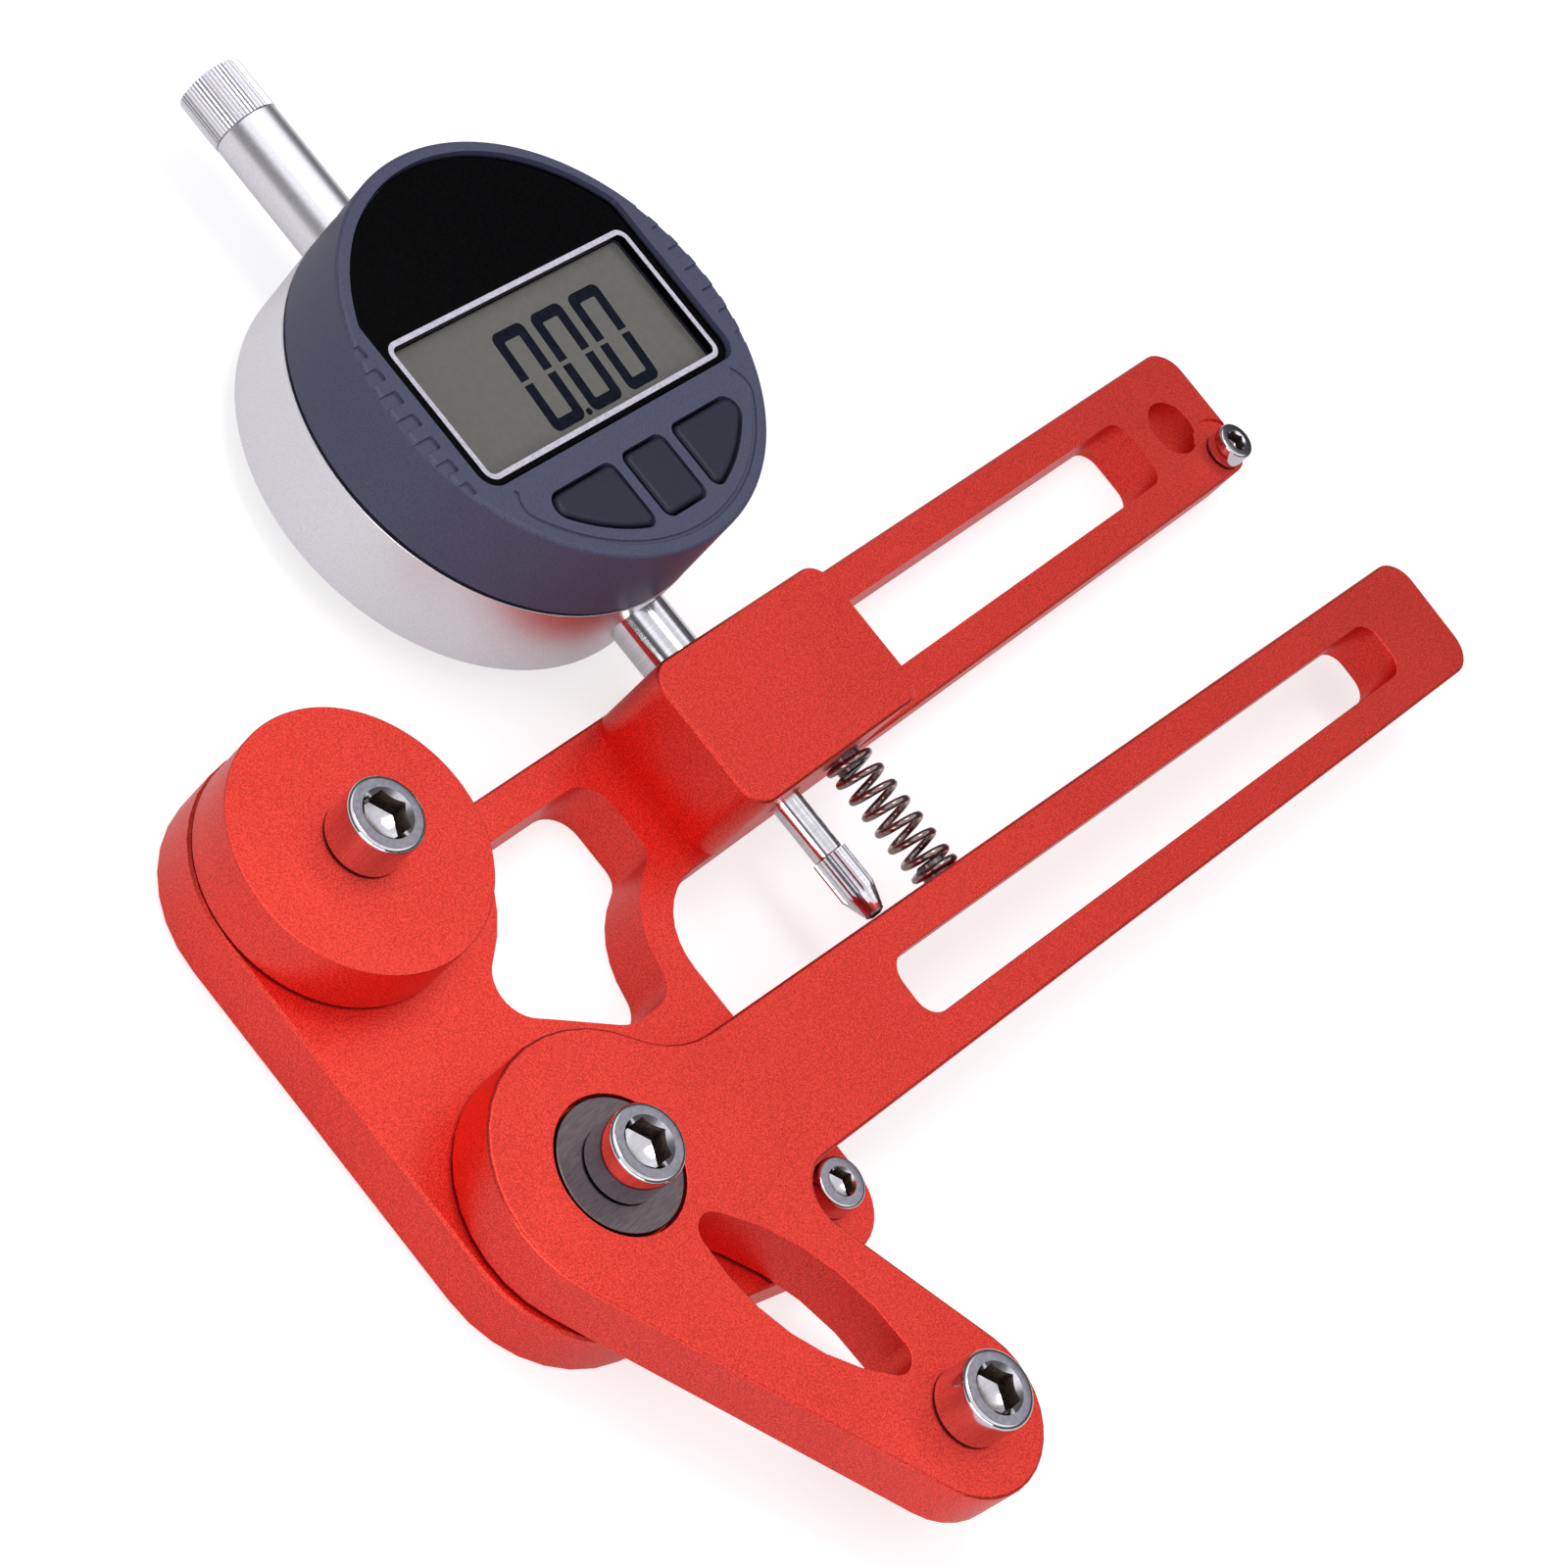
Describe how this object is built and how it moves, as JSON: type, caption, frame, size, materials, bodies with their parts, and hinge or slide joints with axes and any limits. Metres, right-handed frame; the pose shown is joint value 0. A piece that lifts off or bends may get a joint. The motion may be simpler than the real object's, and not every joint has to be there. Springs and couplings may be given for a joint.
{
  "type": "spoke tension meter",
  "caption": "Hand-squeezed bicycle spoke tension meter: two slotted red arms with contact posts, a return spring and a round digital plunger indicator.",
  "frame": {"origin": "where the pivot's axis meets the rear plate's flat back face", "axes": "+X along the rear arm away from the pivot, +Y from the front arm towards the indicator, +Z out of the plates towards the display"},
  "size_m": [0.2032, 0.1895, 0.03],
  "materials": {
    "red_anodised_aluminium": "red anodised over fine bead blasting",
    "polished_steel": "bright polished and plated",
    "blackened_steel": "dark oiled steel",
    "spring_steel": "dark oiled spring wire",
    "white_nylon": "plain moulded",
    "satin_metal": "fine satin, silver",
    "cell_steel": "plated",
    "green_laminate": "solder resist",
    "slate_plastic": "fine moulded grain",
    "black_acrylic": "polished, printed black behind",
    "lcd_glass": "grey-green display glass",
    "grey_rubber": "moulded",
    "dark_plastic": "fine moulded grain"
  },
  "bodies": {
    "frame": {"rear_plate": "red_anodised_aluminium", "spacer_disc": "red_anodised_aluminium", "upper_post_screw": "polished_steel", "pivot_post_screw": "polished_steel", "pivot_bush": "blackened_steel", "thrust_washer": "white_nylon", "stop_screw": "polished_steel", "end_stop_screw": "polished_steel", "upper_spring_pin": "blackened_steel", "return_spring": "spring_steel", "stem_clamp_screw": "blackened_steel", "stem": "polished_steel", "indicator_case": "satin_metal", "back_cover": "satin_metal", "back_cover_screw_1": "polished_steel", "back_cover_screw_2": "polished_steel", "back_cover_screw_3": "polished_steel", "back_cover_screw_4": "polished_steel", "battery_lid": "satin_metal", "coin_cell": "cell_steel", "guide_rod": "polished_steel", "sensor_board": "green_laminate", "upper_tube": "polished_steel", "tube_cap": "satin_metal", "spindle_spring": "spring_steel", "bezel_clip_ring": "spring_steel"},
    "front_arm": {"front_plate": "red_anodised_aluminium", "lower_post_screw": "polished_steel", "lower_spring_pin": "blackened_steel"},
    "spindle": {"spindle": "polished_steel", "contact_point": "polished_steel", "contact_tip": "blackened_steel", "scale_carriage": "white_nylon"},
    "bezel": {"bezel": "slate_plastic", "display_window": "black_acrylic", "lcd_panel": "lcd_glass", "circuit_board": "green_laminate", "keypad_mat": "grey_rubber"},
    "unit_button": {"unit_button": "dark_plastic"},
    "power_button": {"power_button": "dark_plastic"},
    "zero_button": {"zero_button": "dark_plastic"}
  },
  "joints": [
    {"name": "handle_pivot", "type": "hinge", "parent": "frame", "child": "front_arm", "pos_m": [0, 0, 0], "axis": [0, 0, 1], "range_deg": [0, 7.5], "stiffness_Nm_per_rad": 6, "springref_deg": -5.73, "deforming": ["return_spring"]},
    {"name": "spindle_slide", "type": "slide", "parent": "frame", "child": "spindle", "axis": [0, 1, 0], "range_m": [0, 0.0085], "deforming": ["spindle_spring"]},
    {"name": "bezel_turn", "type": "hinge", "parent": "frame", "child": "bezel", "pos_m": [0.0601, 0.0798, 0], "axis": [0, 0, 1], "range_deg": [-165, 165]},
    {"name": "unit_button_press", "type": "slide", "parent": "bezel", "child": "unit_button", "axis": [0, 0, -1], "range_m": [0, 0.0004], "stiffness_N_per_m": 400, "springref_m": -0.0005},
    {"name": "power_button_press", "type": "slide", "parent": "bezel", "child": "power_button", "axis": [0, 0, -1], "range_m": [0, 0.0004], "stiffness_N_per_m": 400, "springref_m": -0.0005},
    {"name": "zero_button_press", "type": "slide", "parent": "bezel", "child": "zero_button", "axis": [0, 0, -1], "range_m": [0, 0.0004], "stiffness_N_per_m": 400, "springref_m": -0.0005}
  ],
  "couplings": [
    {"joint": "spindle_slide", "follows": "handle_pivot", "m_per_rad": 0.0603}
  ]
}
